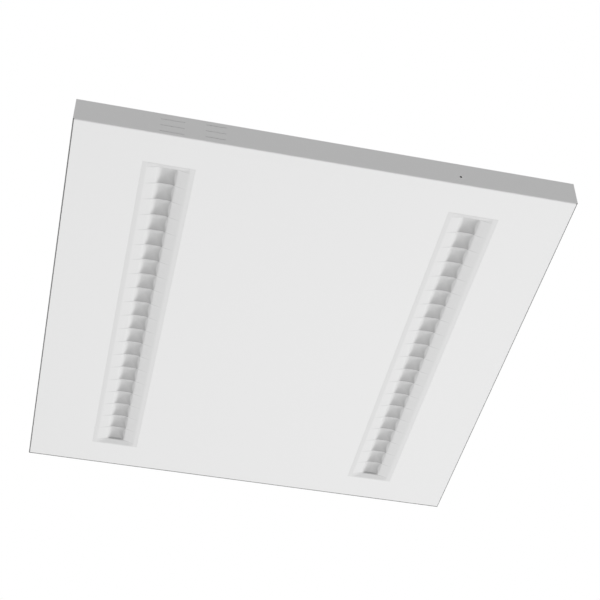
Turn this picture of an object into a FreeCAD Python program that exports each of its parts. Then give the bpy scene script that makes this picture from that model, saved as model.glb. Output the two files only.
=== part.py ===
"""Recessed lay-in troffer light for the 600 mm ceiling grid, with two micro-louvre optics.

The frame: +Z is up as installed. The origin is the middle of the visible face, in its outer
plane, so the face looks down at -Z and rests on the grid there. +X runs across the two optics
and +Y runs along them. All sizes are millimetres.
"""
import FreeCAD, Part
import math
import os

import Sketcher
from FreeCAD import Placement, Rotation, Vector

# Every driving size, written once. Each sub-part reads them through expressions.
SIZES = (
    # the folded steel tray
    ("module_size", 595),  # outside of the tray, both ways, for the 600 mm grid
    ("wall_height", 37),  # face plane to the top of the returned lips
    ("sheet_gauge", 0.8),
    ("bend_radius", 1.6),  # outside radius of every fold
    ("lip_width", 20),  # returned lip at the top of each wall
    ("mitre_gap", 0.8),  # open cut where two lips meet
    ("slot_spacing", 365),  # between the centre lines of the two optics
    ("slot_width", 60),
    ("slot_length", 506),
    ("slot_edge_height", 4),  # upturned edge round each slot
    ("vent_width", 0.6),  # punched slots in the two end walls
    ("vent_long", 28),
    ("vent_short", 24),
    ("vent_rise", 11),  # between the rows of one group
    ("vent_low", 5),  # lowest row above the face
    ("vent_step", 3),  # the second group sits this much higher
    ("vent_long_at", 186),  # middle of each group, from the middle of the wall
    ("vent_short_at", 136),
    ("wall_hole_at", 155),
    ("wall_hole_height", 14),
    ("wall_hole_radius", 1.6),
    # the louvre inserts
    ("rim_gap", 0.4),  # from the slot's edge to the insert's rim
    ("rim_set_back", 0.3),  # rim behind the face plane
    ("rim_slope", 2),  # bevel round the rim, across and up
    ("rim_land", 0.6),
    ("ledge_overhang", 2.5),  # ledge that lies on the upturned edge, past its outside
    ("ledge_thickness", 1.2),
    ("cell_count", 20),
    ("cell_pitch", 24.65),
    ("mouth_width", 24.6),  # dished part of a cell, across the insert
    ("mouth_height", 3.6),  # where the shallow flank meets the dishes
    ("dish_depth", 6.4),
    ("insert_height", 12),  # face plane to the top of the insert
    ("insert_wall", 2.2),
    ("ridge_tip", 0.7),  # thickness of the ridge between two dishes at its lower edge
    ("ridge_arch", 2.2),  # rise of the lower edges of the ridges, mid-span
    ("plate_thickness", 2.4),  # flank's plate at the mouth
    # light engine
    ("window_thickness", 1.5),
    ("chip_size", 3),
    ("chip_height", 0.7),
    ("chip_gap", 0.2),  # chip to light window
    ("board_thickness", 1.2),
    ("board_width", 22),
    ("carrier_gauge", 1.5),
    ("carrier_gap", 0.5),  # carrier leg to the insert
    ("carrier_foot", 9),
    ("carrier_overhang", 14),  # past the end of the insert, for the end hook
    ("hook_width", 20),
    ("hook_reach", 8),  # over the carrier's web
    ("hook_foot", 12),
    ("hook_gap", 0.2),
    ("connector_at", 222),  # middle of a board connector, towards -Y
    ("connector_length", 12),
    ("connector_width", 9),
    ("connector_height", 7),
    ("connector_clearance", 0.6),
    # back cover
    ("cover_margin", 3),  # cover's edge to the outside of the tray, at the two ends
    ("lip_bare", 14),  # strip of each side lip that the cover leaves free for the clips
    ("bead_height", 2.4),
    ("bead_width", 14),
    ("bead_length", 430),
    ("bead_at", 90),  # beads each side of the middle line
    ("end_screw_reach", 190),  # from the middle, along the -Y and +Y lips
    ("hanger_reach", 262),
    ("hanger_radius", 3),
    # thread-forming hexagon screws
    ("screw_radius", 1.9),
    ("screw_head_width", 7),
    ("screw_head_height", 2.6),
    ("screw_length", 8),
    ("screw_clearance", 0.05),
    # hold-down clips
    ("clip_reach", 236),  # pivot, from the middle, along the -X and +X lips
    ("clip_length", 58),
    ("clip_width", 13),
    ("clip_gauge", 1.2),
    ("clip_tab", 7),
    ("clip_gap", 0.2),  # running gap above and below the arm
    ("pivot_radius", 2),  # shoulder of the clip's screw
    ("pivot_clearance", 0.06),
    # driver
    ("driver_length", 270),
    ("driver_width", 44),
    ("driver_height", 21),
    ("driver_middle", -38),  # middle of the driver along Y
    ("driver_lug", 14),
    ("driver_gauge", 1),
    ("driver_board_width", 38),
    ("driver_board_height", 5),  # circuit board below the driver's base plate
    ("driver_board_thickness", 1.6),
    ("driver_terminal_width", 26),
    ("driver_terminal_depth", 11),
    ("driver_terminal_height", 9),
    # connection box
    ("box_length", 120),
    ("box_depth", 76),
    ("box_height", 28),
    ("box_wall", 2),
    ("box_corner", 3),
    ("snap_width", 12),  # snap feet that hold the box in the cover
    ("snap_thickness", 1.6),
    ("snap_reach", 46),  # from the middle, along X
    ("snap_barb", 0.8),
    ("box_middle", 150),  # middle of the box along Y
    ("lid_thickness", 2),
    ("lid_gap", 0.3),
    ("hinge_barrel", 3),  # radius of the lid's hinge barrel
    ("hinge_pin_radius", 1.25),
    ("hinge_clearance", 0.08),
    ("hinge_half_span", 40),
    ("hinge_ear", 5),
    ("block_length", 36),
    ("block_depth", 28),
    ("block_height", 17),
    ("pole_pitch", 11),
    ("pole_width", 8.4),
    ("button_length", 5),
    ("button_depth", 6),
    ("button_travel", 1.5),
    ("button_proud", 2.2),
    ("button_clearance", 0.12),
    ("wire_hole", 3.6),  # square wire entry
    ("cable_hole_radius", 4.2),  # the grommet's bore, for a round mains cable
    ("grommet_radius", 6.5),
    ("grommet_flange", 8.5),
    ("grommet_length", 8),
    ("cable_height", 12),  # cable's axis above the floor of the box
    ("clamp_length", 30),
    ("clamp_width", 9),
    ("clamp_thickness", 4),
    ("clamp_screw_spacing", 21),
    # leads
    ("lead_width", 4.4),
    ("lead_thickness", 2.2),
    ("lead_bend", 9),
    ("supply_width", 14),
    ("bushing_wall", 1.5),
    ("earth_stud_radius", 2),
)

document = FreeCAD.newDocument("troffer")
sheet = document.addObject("Spreadsheet::Sheet", "sizes")
for row, (alias, value) in enumerate(SIZES, start=1):
    sheet.set(f"A{row}", str(value))
    sheet.setAlias(f"A{row}", alias)
document.recompute()

SUB_PARTS = []  # every object that is a finished piece, in the order in which it is made


# ---------------------------------------------------------------- helpers


def expression(text):
    """The text with each size's name pointed at the sheet."""
    words = []
    word = ""
    for letter in text + " ":
        if letter.isalnum() or letter in "_.":
            word += letter
            continue
        words.append(f"sizes.{word}" if word in ALIASES else word)
        words.append(letter)
        word = ""
    return "".join(words).strip()


ALIASES = {alias for alias, _ in SIZES}
HALF_TURN = "half turn"


def number(text):
    """What an expression comes to now, in millimetres."""
    return float(sheet.evalExpression(expression(text)))


def keep(piece, label):
    """Name a finished piece and put it on the list of sub-parts."""
    piece.Label = label
    SUB_PARTS.append(piece)
    return piece


def new_body(label):
    return keep(document.addObject("PartDesign::Body", label), label)


def origin_feature(body, role):
    return next(f for f in body.Origin.OriginFeatures if f.Role == role)


def new_sketch(body, name, role, shift=None):
    """A sketch on one of the body's own planes, moved along the plane's normal by shift."""
    sketch = body.newObject("Sketcher::SketchObject", name)
    sketch.AttachmentSupport = [(origin_feature(body, role), "")]
    sketch.MapMode = "FlatFace"
    if shift:
        sketch.setExpression("AttachmentOffset.Base.z", expression(shift))
    document.recompute()
    return sketch


def arc_between(start, end, radius):
    """The shorter arc from start to end. A positive radius has its centre on the left."""
    chord = end - start
    across = Vector(-chord.y, chord.x, 0).normalize()
    rise = math.sqrt(max(radius**2 - chord.Length**2 / 4, 0))
    centre = (start + end) / 2 + across * math.copysign(rise, radius)
    first = math.atan2(start.y - centre.y, start.x - centre.x)
    last = math.atan2(end.y - centre.y, end.x - centre.x)
    if radius < 0:
        first, last = last, first
    circle = Part.Circle(centre, Vector(0, 0, 1), abs(radius))
    return Part.ArcOfCircle(circle, first, last if last > first else last + 2 * math.pi)


def draw_outline(sketch, corners, arcs=None):
    """A closed outline through corners given as expressions.

    arcs maps the index of a side to the radius expression of its arc, which starts with a
    minus sign where the centre lies on the right. HALF_TURN in its place is a semicircle
    whose chord runs along an axis of the sketch.
    """
    arcs = arcs or {}
    places = [Vector(number(x), number(y), 0) for x, y in corners]
    first = sketch.GeometryCount
    count = len(corners)
    starts = []
    for side in range(count):
        start, end = places[side], places[(side + 1) % count]
        if side in arcs:
            if arcs[side].endswith(HALF_TURN):
                radius = (end - start).Length / 2
                radius = -radius if arcs[side].startswith("-") else radius
            else:
                radius = number(arcs[side])
            sketch.addGeometry(arc_between(start, end, radius))
            starts.append(1 if radius > 0 else 2)
        else:
            sketch.addGeometry(Part.LineSegment(start, end))
            starts.append(1)
    for side in range(count):
        after = (side + 1) % count
        end_point = 3 - starts[side]
        sketch.addConstraint(
            Sketcher.Constraint("Coincident", first + side, end_point, first + after, starts[after])
        )
    for side, corner in enumerate(corners):
        for kind, text, value in zip(("DistanceX", "DistanceY"), corner, places[side]):
            made = sketch.addConstraint(
                Sketcher.Constraint(kind, -1, 1, first + side, starts[side], value)
            )
            sketch.setExpression(f"Constraints[{made}]", expression(text))
    for side, text in arcs.items():
        if text.endswith(HALF_TURN):
            upright = abs(places[side].x - places[(side + 1) % count].x) < 1e-6
            kind, text = ("DistanceX", corners[side][0]) if upright else (
                "DistanceY", corners[side][1])
            bound = Sketcher.Constraint(kind, -1, 1, first + side, 3, number(text))
        else:
            bound = Sketcher.Constraint("Radius", first + side, abs(number(text)))
            text = text.lstrip("-")
        made = sketch.addConstraint(bound)
        sketch.setExpression(f"Constraints[{made}]", expression(text))


def draw_rectangle(sketch, low_x, low_y, high_x, high_y):
    draw_outline(sketch, [(low_x, low_y), (high_x, low_y), (high_x, high_y), (low_x, high_y)])


def draw_rounded(sketch, middle_x, middle_y, width, height, radius):
    """A rectangle with rounded corners about a middle point."""
    half_x, half_y = f"({width}) / 2", f"({height}) / 2"
    corners = []
    for x_sign, y_sign, x_first in ((1, -1, True), (1, 1, False), (-1, 1, True), (-1, -1, False)):
        x_edge = f"{middle_x} + {x_sign} * ({half_x})"
        y_edge = f"{middle_y} + {y_sign} * ({half_y})"
        near_x = f"{middle_x} + {x_sign} * ({half_x} - ({radius}))"
        near_y = f"{middle_y} + {y_sign} * ({half_y} - ({radius}))"
        pair = [(near_x, y_edge), (x_edge, near_y)]
        corners += pair if x_first else pair[::-1]
    draw_outline(sketch, corners, {side: radius for side in (0, 2, 4, 6)})


def draw_circle(sketch, x, y, radius):
    made = sketch.addGeometry(
        Part.Circle(Vector(number(x), number(y), 0), Vector(0, 0, 1), number(radius))
    )
    bound = (
        (Sketcher.Constraint("DistanceX", -1, 1, made, 3, number(x)), x),
        (Sketcher.Constraint("DistanceY", -1, 1, made, 3, number(y)), y),
        (Sketcher.Constraint("Radius", made, number(radius)), radius),
    )
    for constraint, text in bound:
        sketch.setExpression(
            f"Constraints[{sketch.addConstraint(constraint)}]", expression(text)
        )


def pad(body, sketch, name, length, backwards=False, both_ways=False, taper=None):
    """Material from a sketch along its normal, or against it where backwards."""
    before = body.Shape.Volume if body.Shape.Solids else 0
    feature = body.newObject("PartDesign::Pad", name)
    feature.Profile = sketch
    feature.setExpression("Length", expression(length))
    feature.Reversed = backwards
    feature.Midplane = both_ways
    if taper:
        feature.TaperAngle = taper
    document.recompute()
    if not feature.Shape.Volume > before:
        raise RuntimeError(f"{name} adds nothing to {body.Label}")
    return feature


def pocket(body, sketch, name, length, forwards=False, both_ways=False, taper=None):
    """A cut from a sketch against its normal, or along it where forwards."""
    before = body.Shape.Volume
    feature = body.newObject("PartDesign::Pocket", name)
    feature.Profile = sketch
    feature.setExpression("Length", expression(length))
    feature.Reversed = forwards
    feature.Midplane = both_ways
    if taper:
        feature.TaperAngle = taper
    document.recompute()
    if not feature.Shape.Volume < before:
        raise RuntimeError(f"{name} cuts nothing from {body.Label}")
    return feature


def pattern(body, name, originals, role, length, occurrences):
    """Repeat features in a row along one of the body's own axes."""
    feature = body.newObject("PartDesign::LinearPattern", name)
    feature.Originals = originals
    feature.Direction = (origin_feature(body, role), [""])
    feature.setExpression("Length", expression(length))
    feature.setExpression("Occurrences", expression(occurrences))
    body.Tip = feature
    document.recompute()
    return feature


def edges_where(feature, wanted):
    """Names of the feature's edges whose middle point passes a test."""
    names = []
    for index, edge in enumerate(feature.Shape.Edges, start=1):
        middle = edge.valueAt((edge.FirstParameter + edge.LastParameter) / 2)
        if wanted(middle, edge):
            names.append(f"Edge{index}")
    return names


def fillet(body, name, base, edges, radius):
    feature = body.newObject("PartDesign::Fillet", name)
    feature.Base = (base, edges)
    feature.setExpression("Radius", expression(radius))
    document.recompute()
    return feature


def place(piece, x="0", y="0", z="0", turn=0):
    """Put a piece at expressions in the frame, turned about Z."""
    piece.Placement = Placement(Vector(0, 0, 0), Rotation(Vector(0, 0, 1), turn))
    for axis, text in zip("xyz", (x, y, z)):
        piece.setExpression(f"Placement.Base.{axis}", expression(text))


def block(name, low, sizes):
    """A rectangular primitive from its lowest corner and its three sizes."""
    box = document.addObject("Part::Box", name)
    for side, text in zip(("Length", "Width", "Height"), sizes):
        box.setExpression(side, expression(text))
    place(box, *low)
    return box


def rod(name, base, radius, height):
    """An upright cylinder primitive."""
    cylinder = document.addObject("Part::Cylinder", name)
    cylinder.setExpression("Radius", expression(radius))
    cylinder.setExpression("Height", expression(height))
    place(cylinder, *base)
    return cylinder


def join(name, shapes):
    fused = document.addObject("Part::MultiFuse", name)
    fused.Shapes = shapes
    return fused


def cut(name, base, tool):
    result = document.addObject("Part::Cut", name)
    result.Base = base
    result.Tool = tool
    return result


def copies(label, prototype, places):
    """One node of separate like solids: a prototype repeated at places (x, y, z, turn)."""
    links = []
    for index, (x, y, z, turn) in enumerate(places, start=1):
        link = document.addObject("App::Link", f"{label}_{index}")
        link.LinkedObject = prototype
        link.LinkTransform = True
        place(link, x, y, z, turn)
        links.append(link)
    group = document.addObject("Part::Compound", label)
    group.Links = links
    return keep(group, label)


def each_side():
    """The two optics, as (name, sign of X)."""
    return (("left", -1), ("right", 1))


def corners_of(x, y):
    """Four places that mirror (x, y) in both middle lines, as expression pairs."""
    return [(f"{i} * ({x})", f"{j} * ({y})") for i in (-1, 1) for j in (-1, 1)]


# Heights that several pieces share.
LEDGE_BASE = "slot_edge_height"
LEDGE_TOP = "(slot_edge_height + ledge_thickness)"
WINDOW_TOP = "(insert_height + window_thickness)"
CHIP_TOP = f"({WINDOW_TOP} + chip_gap + chip_height)"
WEB_BASE = f"({CHIP_TOP} + board_thickness)"
WEB_TOP = f"({WEB_BASE} + carrier_gauge)"
COVER_TOP = "(wall_height + sheet_gauge)"
LIP_LINE = "(module_size / 2 - lip_width / 2)"
CLIP_LINE = "(module_size / 2 - lip_bare / 2)"
INSERT_LENGTH = "(slot_length - 2 * rim_gap)"
RIM_HALF = "(slot_width / 2 - rim_gap)"
FLANK_OUT = f"({RIM_HALF} - rim_slope - rim_land)"
DRIVER_BOTTOM = "(wall_height - driver_gauge - driver_height)"
DRIVER_LOW_END = "(driver_middle - driver_length / 2)"
DRIVER_HIGH_END = "(driver_middle + driver_length / 2)"
BOX_FLOOR = f"({COVER_TOP} + box_wall)"
BOX_TOP = f"({COVER_TOP} + box_height)"
CABLE_AXIS = f"({BOX_FLOOR} + cable_height)"
HINGE_LINE = "(box_middle + box_depth / 2 + hinge_barrel + 0.4)"
HINGE_HEIGHT = f"({BOX_TOP} - hinge_barrel)"
BLOCK_MIDDLE = "(box_middle + 14)"
SUPPLY_HOLE = "(box_middle - 22)"
LEAD_BASE = f"({WEB_TOP} + 1.5)"
LEAD_MIDDLE = f"({LEAD_BASE} + lead_thickness / 2)"
MOUTH_HALF = "(mouth_width / 2)"
CELLS_LENGTH = "(cell_count * cell_pitch)"
FIRST_CELL = "(-(cell_count - 1) * cell_pitch / 2)"
CARRIER_END = f"({INSERT_LENGTH} / 2 + carrier_overhang)"
CLIP_BASE = "(wall_height + clip_gap)"
DRIVER_SCREWS = (f"({DRIVER_LOW_END} - driver_lug / 2)", f"({DRIVER_HIGH_END} + driver_lug / 2)")
BOARD_GAUGE = "driver_board_thickness"
SNAP_LINES = ("(box_middle - box_depth / 2 + 6)", "(box_middle + box_depth / 2 - 6)")
BUSHING_HALF = "(lead_thickness / 2 + bushing_wall)"
CABLE_LINE = "(box_middle - 17)"
CLAMP_AT = "(-box_length / 2 + 20)"
BUTTON_LOW = "(box_middle + 5)"
EARTH_X = "(driver_width / 4)"


# ---------------------------------------------------------------- tray and cover


def housing_tray():
    """Folded tray: visible face, four walls, returned mitred lips and two upturned slots."""
    body = new_body("housing_tray")
    half = "module_size / 2"
    outline = new_sketch(body, "tray_outline", "XY_Plane")
    draw_rectangle(outline, f"-{half}", f"-{half}", half, half)
    envelope = pad(body, outline, "tray_envelope", "wall_height")
    top = number("wall_height")
    folds = edges_where(envelope, lambda middle, edge: middle.z < 0.1)
    rounded = fillet(body, "tray_folds", envelope, folds, "bend_radius")
    open_side = [
        f"Face{index}"
        for index, face in enumerate(rounded.Shape.Faces, start=1)
        if face.BoundBox.ZMin > top - 0.1
    ]
    skin = body.newObject("PartDesign::Thickness", "tray_skin")
    skin.Base = (rounded, open_side)
    skin.setExpression("Value", expression("sheet_gauge"))
    skin.Reversed = True
    document.recompute()

    lip = new_sketch(body, "lip_outline", "XY_Plane", "wall_height - sheet_gauge")
    outer = f"({half} - sheet_gauge / 2)"
    inner = f"({half} - lip_width)"
    draw_rectangle(lip, f"-{outer}", f"-{outer}", outer, outer)
    draw_rectangle(lip, f"-{inner}", f"-{inner}", inner, inner)
    pad(body, lip, "returned_lips", "sheet_gauge")
    mitres = new_sketch(body, "lip_mitres", "XY_Plane", "wall_height")
    near, far, gap = f"({inner} - 1)", f"({half} - 2 * bend_radius)", "(mitre_gap / 2)"
    for i in (-1, 1):
        for j in (-1, 1):
            draw_outline(
                mitres,
                [
                    (f"{i} * ({near} + {gap})", f"{j} * ({near} - {gap})"),
                    (f"{i} * ({far} + {gap})", f"{j} * ({far} - {gap})"),
                    (f"{i} * ({far} - {gap})", f"{j} * ({far} + {gap})"),
                    (f"{i} * ({near} - {gap})", f"{j} * ({near} + {gap})"),
                ],
            )
    pocket(body, mitres, "mitre_cuts", "sheet_gauge")

    slots = new_sketch(body, "slot_outlines", "XY_Plane")
    edges = new_sketch(body, "slot_edge_outlines", "XY_Plane")
    for _, side in each_side():
        middle = f"{side} * slot_spacing / 2"
        for sketch, extra in ((slots, ""), (edges, " + sheet_gauge")):
            half_x, half_y = f"(slot_width / 2{extra})", f"(slot_length / 2{extra})"
            draw_rectangle(sketch, f"{middle} - {half_x}", f"-{half_y}", f"{middle} + {half_x}",
                           half_y)
    pad(body, edges, "slot_edges", "slot_edge_height")
    opened = pocket(body, slots, "slot_openings", "slot_edge_height", forwards=True)
    reach = number("slot_width / 2 + 0.1")
    middle_line = number("slot_spacing / 2")
    half_length = number("slot_length / 2 + 0.1")
    rolled = edges_where(
        opened,
        lambda middle, edge: abs(middle.z) < 0.01
        and abs(abs(middle.x) - middle_line) < reach
        and abs(middle.y) < half_length,
    )
    fillet(body, "slot_rolls", opened, rolled, "bend_radius")

    holes = new_sketch(body, "lip_holes", "XY_Plane", "wall_height")
    for x, y in corners_of("end_screw_reach", LIP_LINE):
        draw_circle(holes, x, y, "screw_radius + screw_clearance")
    for x, y in corners_of(CLIP_LINE, "hanger_reach"):
        draw_circle(holes, x, y, "hanger_radius")
    for x, y in corners_of(CLIP_LINE, "clip_reach"):
        draw_circle(holes, x, y, "pivot_radius + screw_clearance")
    pocket(body, holes, "lip_hole_cuts", "sheet_gauge")

    vents = new_sketch(body, "wall_vents", "XZ_Plane")
    for middle, length, low in (
        ("-vent_long_at", "vent_long", "vent_low"),
        ("-vent_short_at", "vent_short", "(vent_low + vent_step)"),
    ):
        for step in range(3):
            base = f"({low} + {step} * vent_rise)"
            draw_rectangle(
                vents, f"{middle} - {length} / 2", base,
                f"{middle} + {length} / 2", f"{base} + vent_width",
            )
    pocket(body, vents, "wall_vent_cuts", "module_size + 2", both_ways=True)
    wall_hole = new_sketch(body, "wall_hole", "XZ_Plane", half)
    draw_circle(wall_hole, "wall_hole_at", "wall_hole_height", "wall_hole_radius")
    pocket(body, wall_hole, "wall_hole_cut", "2 * sheet_gauge")


def snap_feet(sketch, room="0"):
    """Outlines of the box's four snap feet, or of their slots in the cover."""
    for x in ("-snap_reach", "snap_reach"):
        for y in SNAP_LINES:
            half_x, half_y = f"(snap_width / 2 + {room})", f"(snap_thickness / 2 + {room})"
            draw_rectangle(sketch, f"{x} - {half_x}", f"{y} - {half_y}", f"{x} + {half_x}",
                           f"{y} + {half_y}")


def back_cover():
    """Flat sheet on the lips, stiffened by two pressed beads that are hollow underneath."""
    body = new_body("back_cover")
    half_x, half_y = "(module_size / 2 - lip_bare)", "(module_size / 2 - cover_margin)"
    outline = new_sketch(body, "cover_outline", "XY_Plane", "wall_height")
    draw_rectangle(outline, f"-{half_x}", f"-{half_y}", half_x, half_y)
    pad(body, outline, "cover_sheet", "sheet_gauge")
    outside = new_sketch(body, "bead_outsides", "XY_Plane", COVER_TOP)
    inside = new_sketch(body, "bead_insides", "XY_Plane", "wall_height")
    for side in (-1, 1):
        middle = f"{side} * bead_at"
        for sketch, less in ((outside, ""), (inside, " - sheet_gauge / 2")):
            bead_x, bead_y = f"(bead_width / 2{less})", f"(bead_length / 2{less})"
            draw_rectangle(sketch, f"{middle} - {bead_x}", f"-{bead_y}", f"{middle} + {bead_x}",
                           bead_y)
    pad(body, outside, "beads", "bead_height", taper=-30)
    pocket(body, inside, "bead_hollows", "bead_height", forwards=True, taper=-30)
    holes = new_sketch(body, "cover_holes", "XY_Plane", COVER_TOP)
    for x, y in corners_of("end_screw_reach", LIP_LINE) + [("0", y) for y in DRIVER_SCREWS]:
        draw_circle(holes, x, y, "screw_radius + screw_clearance")
    snap_feet(holes, "0.1")
    width = "(supply_width + 2 * bushing_wall)"
    draw_rectangle(
        holes, f"-{width} / 2", f"{SUPPLY_HOLE} - lead_thickness / 2 - bushing_wall",
        f"{width} / 2", f"{SUPPLY_HOLE} + lead_thickness / 2 + bushing_wall",
    )
    pocket(body, holes, "cover_hole_cuts", "sheet_gauge")


# ---------------------------------------------------------------- optics


def bar_section(body, shift):
    """Section across the insert: rim, ledge, sloping flanks and the deep core."""
    sketch = new_sketch(body, "bar_section", "XZ_Plane", shift)
    ledge = "(slot_width / 2 + sheet_gauge + ledge_overhang)"
    plate_top = "(mouth_height + plate_thickness)"
    core = f"({MOUTH_HALF} + insert_wall)"
    right = [
        (MOUTH_HALF, "mouth_height"),
        (FLANK_OUT, "rim_set_back"),
        (f"({RIM_HALF} - rim_slope)", "rim_set_back"),
        (RIM_HALF, "rim_set_back + rim_slope"),
        (RIM_HALF, LEDGE_BASE),
        (ledge, LEDGE_BASE),
        (ledge, LEDGE_TOP),
        (FLANK_OUT, LEDGE_TOP),
        (FLANK_OUT, plate_top),
        (core, plate_top),
        (core, "insert_height"),
    ]
    draw_outline(sketch, right + [(f"-{x}", z) for x, z in reversed(right)])
    return sketch


def louvre_insert(name, side):
    """Moulded louvre: a trough of square dishes, parted by sharp hollow-sided cross ridges
    whose lower edges arch upwards, between two plain flanks."""
    body = new_body(f"louvre_insert_{name}")
    bar = bar_section(body, f"-{INSERT_LENGTH} / 2")
    pad(body, bar, "bar", INSERT_LENGTH, backwards=False)

    trough = new_sketch(body, "trough_section", "XZ_Plane", f"-{CELLS_LENGTH} / 2")
    draw_outline(
        trough,
        [(f"-{MOUTH_HALF}", "0"), (MOUTH_HALF, "0"), (MOUTH_HALF, "mouth_height"),
         (f"-{MOUTH_HALF}", "mouth_height")],
        {2: f"({MOUTH_HALF} ^ 2 / (2 * dish_depth) + dish_depth / 2)"},
    )
    pocket(body, trough, "trough", CELLS_LENGTH, forwards=True)

    ridge = new_sketch(body, "ridge_section", "YZ_Plane")
    ridge.setExpression("AttachmentOffset.Base.x", expression(f"-{CELLS_LENGTH} / 2"))
    foot, tip = "(cell_pitch / 2 - 0.2)", "(ridge_tip / 2)"
    top = "(mouth_height + dish_depth)"
    hollow = f"-(({foot} - {tip}) ^ 2 / (2 * dish_depth) + dish_depth / 2)"
    draw_outline(
        ridge,
        [(f"-{tip}", "mouth_height"), (tip, "mouth_height"), (foot, top), (f"-{foot}", top)],
        {1: hollow, 3: hollow},
    )
    first = pad(body, ridge, "ridge", "mouth_width", both_ways=True)
    pattern(body, "ridges", [first], "Y_Axis", CELLS_LENGTH, "cell_count + 1")

    arch = new_sketch(body, "arch_section", "XZ_Plane")
    draw_outline(
        arch,
        [(f"-{MOUTH_HALF}", "mouth_height"), (MOUTH_HALF, "mouth_height")],
        {1: f"({MOUTH_HALF} ^ 2 / (2 * ridge_arch) + ridge_arch / 2)"},
    )
    pocket(body, arch, "ridge_arches", f"{CELLS_LENGTH} + ridge_tip", both_ways=True)
    place(body, f"{side} * slot_spacing / 2")


def light_engine(name, side):
    """What stands over one insert: light window, chips, board, carrier and connector."""
    middle = f"({side} * slot_spacing / 2)"
    strip = ("board_width", f"{INSERT_LENGTH} - 4")
    low = (f"{middle} - board_width / 2", f"-({INSERT_LENGTH} - 4) / 2")
    keep(
        block(f"light_window_{name}", (*low, "insert_height"), (*strip, "window_thickness")),
        f"light_window_{name}",
    )
    keep(block(f"led_board_{name}", (*low, CHIP_TOP), (*strip, "board_thickness")),
         f"led_board_{name}")
    chip = block(
        f"chip_{name}", ("-chip_size / 2", "-chip_size / 2", "0"),
        ("chip_size", "chip_size", "chip_height"),
    )
    cells = range(int(number("cell_count")))
    copies(
        f"led_chips_{name}", chip,
        [(middle, f"{FIRST_CELL} + {cell} * cell_pitch", f"{CHIP_TOP} - chip_height", 0)
         for cell in cells],
    )
    keep(
        block(
            f"board_connector_{name}",
            (f"{middle} - connector_width / 2", "-connector_at - connector_length / 2", WEB_BASE),
            ("connector_width", "connector_length", "connector_height"),
        ),
        f"board_connector_{name}",
    )
    carrier(name, middle)


def carrier(name, middle):
    """Aluminium hat profile that spreads the heat and holds the insert down by its ledges."""
    body = new_body(f"carrier_{name}")
    length = f"({INSERT_LENGTH} + 2 * carrier_overhang)"
    section = new_sketch(body, "hat_section", "XZ_Plane", f"-{length} / 2")
    inside = f"({RIM_HALF} + carrier_gap)"
    outside = f"({inside} + carrier_gauge)"
    foot_top = f"({LEDGE_TOP} + carrier_gauge)"
    right = [
        (inside, WEB_BASE),
        (inside, LEDGE_TOP),
        (f"({outside} + carrier_foot)", LEDGE_TOP),
        (f"({outside} + carrier_foot)", foot_top),
        (outside, foot_top),
        (outside, WEB_TOP),
    ]
    draw_outline(section, right + [(f"-{x}", z) for x, z in reversed(right)])
    pad(body, section, "hat", length)
    openings = new_sketch(body, "web_openings", "XY_Plane", WEB_TOP)
    half_x = "(connector_width / 2 + connector_clearance)"
    half_y = "(connector_length / 2 + connector_clearance)"
    draw_rectangle(
        openings, f"-{half_x}", f"-connector_at - {half_y}", half_x, f"-connector_at + {half_y}"
    )
    pocket(body, openings, "web_cut", "carrier_gauge")
    place(body, middle)


def end_hooks():
    """Folded hooks, welded on the tray, that press both ends of the carriers down."""
    body = document.addObject("PartDesign::Body", "end_hook")
    gauge = "sheet_gauge"
    profile = new_sketch(body, "hook_profile", "YZ_Plane")
    draw_outline(
        profile,
        [
            ("0", gauge),
            ("hook_foot", gauge),
            ("hook_foot", f"2 * {gauge}"),
            (gauge, f"2 * {gauge}"),
            (gauge, f"{WEB_TOP} + {gauge}"),
            ("-hook_reach", f"{WEB_TOP} + {gauge}"),
            ("-hook_reach", WEB_TOP),
            ("0", WEB_TOP),
        ],
    )
    pad(body, profile, "hook_strip", "hook_width", both_ways=True)
    places = [
        (f"{side} * slot_spacing / 2", f"{end} * ({CARRIER_END} + hook_gap)", "0",
         0 if end > 0 else 180)
        for side in (-1, 1) for end in (-1, 1)
    ]
    copies("end_hooks", body, places)


# ---------------------------------------------------------------- fasteners


def hexagon_screws():
    """Thread-forming screws: one prototype, and one node for each group that it fastens."""
    head = document.addObject("Part::Prism", "screw_head")
    head.Polygon = 6
    head.setExpression("Circumradius", expression("screw_head_width / sqrt(3)"))
    head.setExpression("Height", expression("screw_head_height"))
    screw = join("screw", [head, rod("screw_shank", ("0", "0", "-screw_length"),
                                     "screw_radius", "screw_length + 0.5")])
    copies("cover_screws", screw, [(x, y, COVER_TOP, 0)
                                   for x, y in corners_of("end_screw_reach", LIP_LINE)])
    copies("driver_screws", screw, [("0", y, COVER_TOP, 0) for y in DRIVER_SCREWS])


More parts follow.
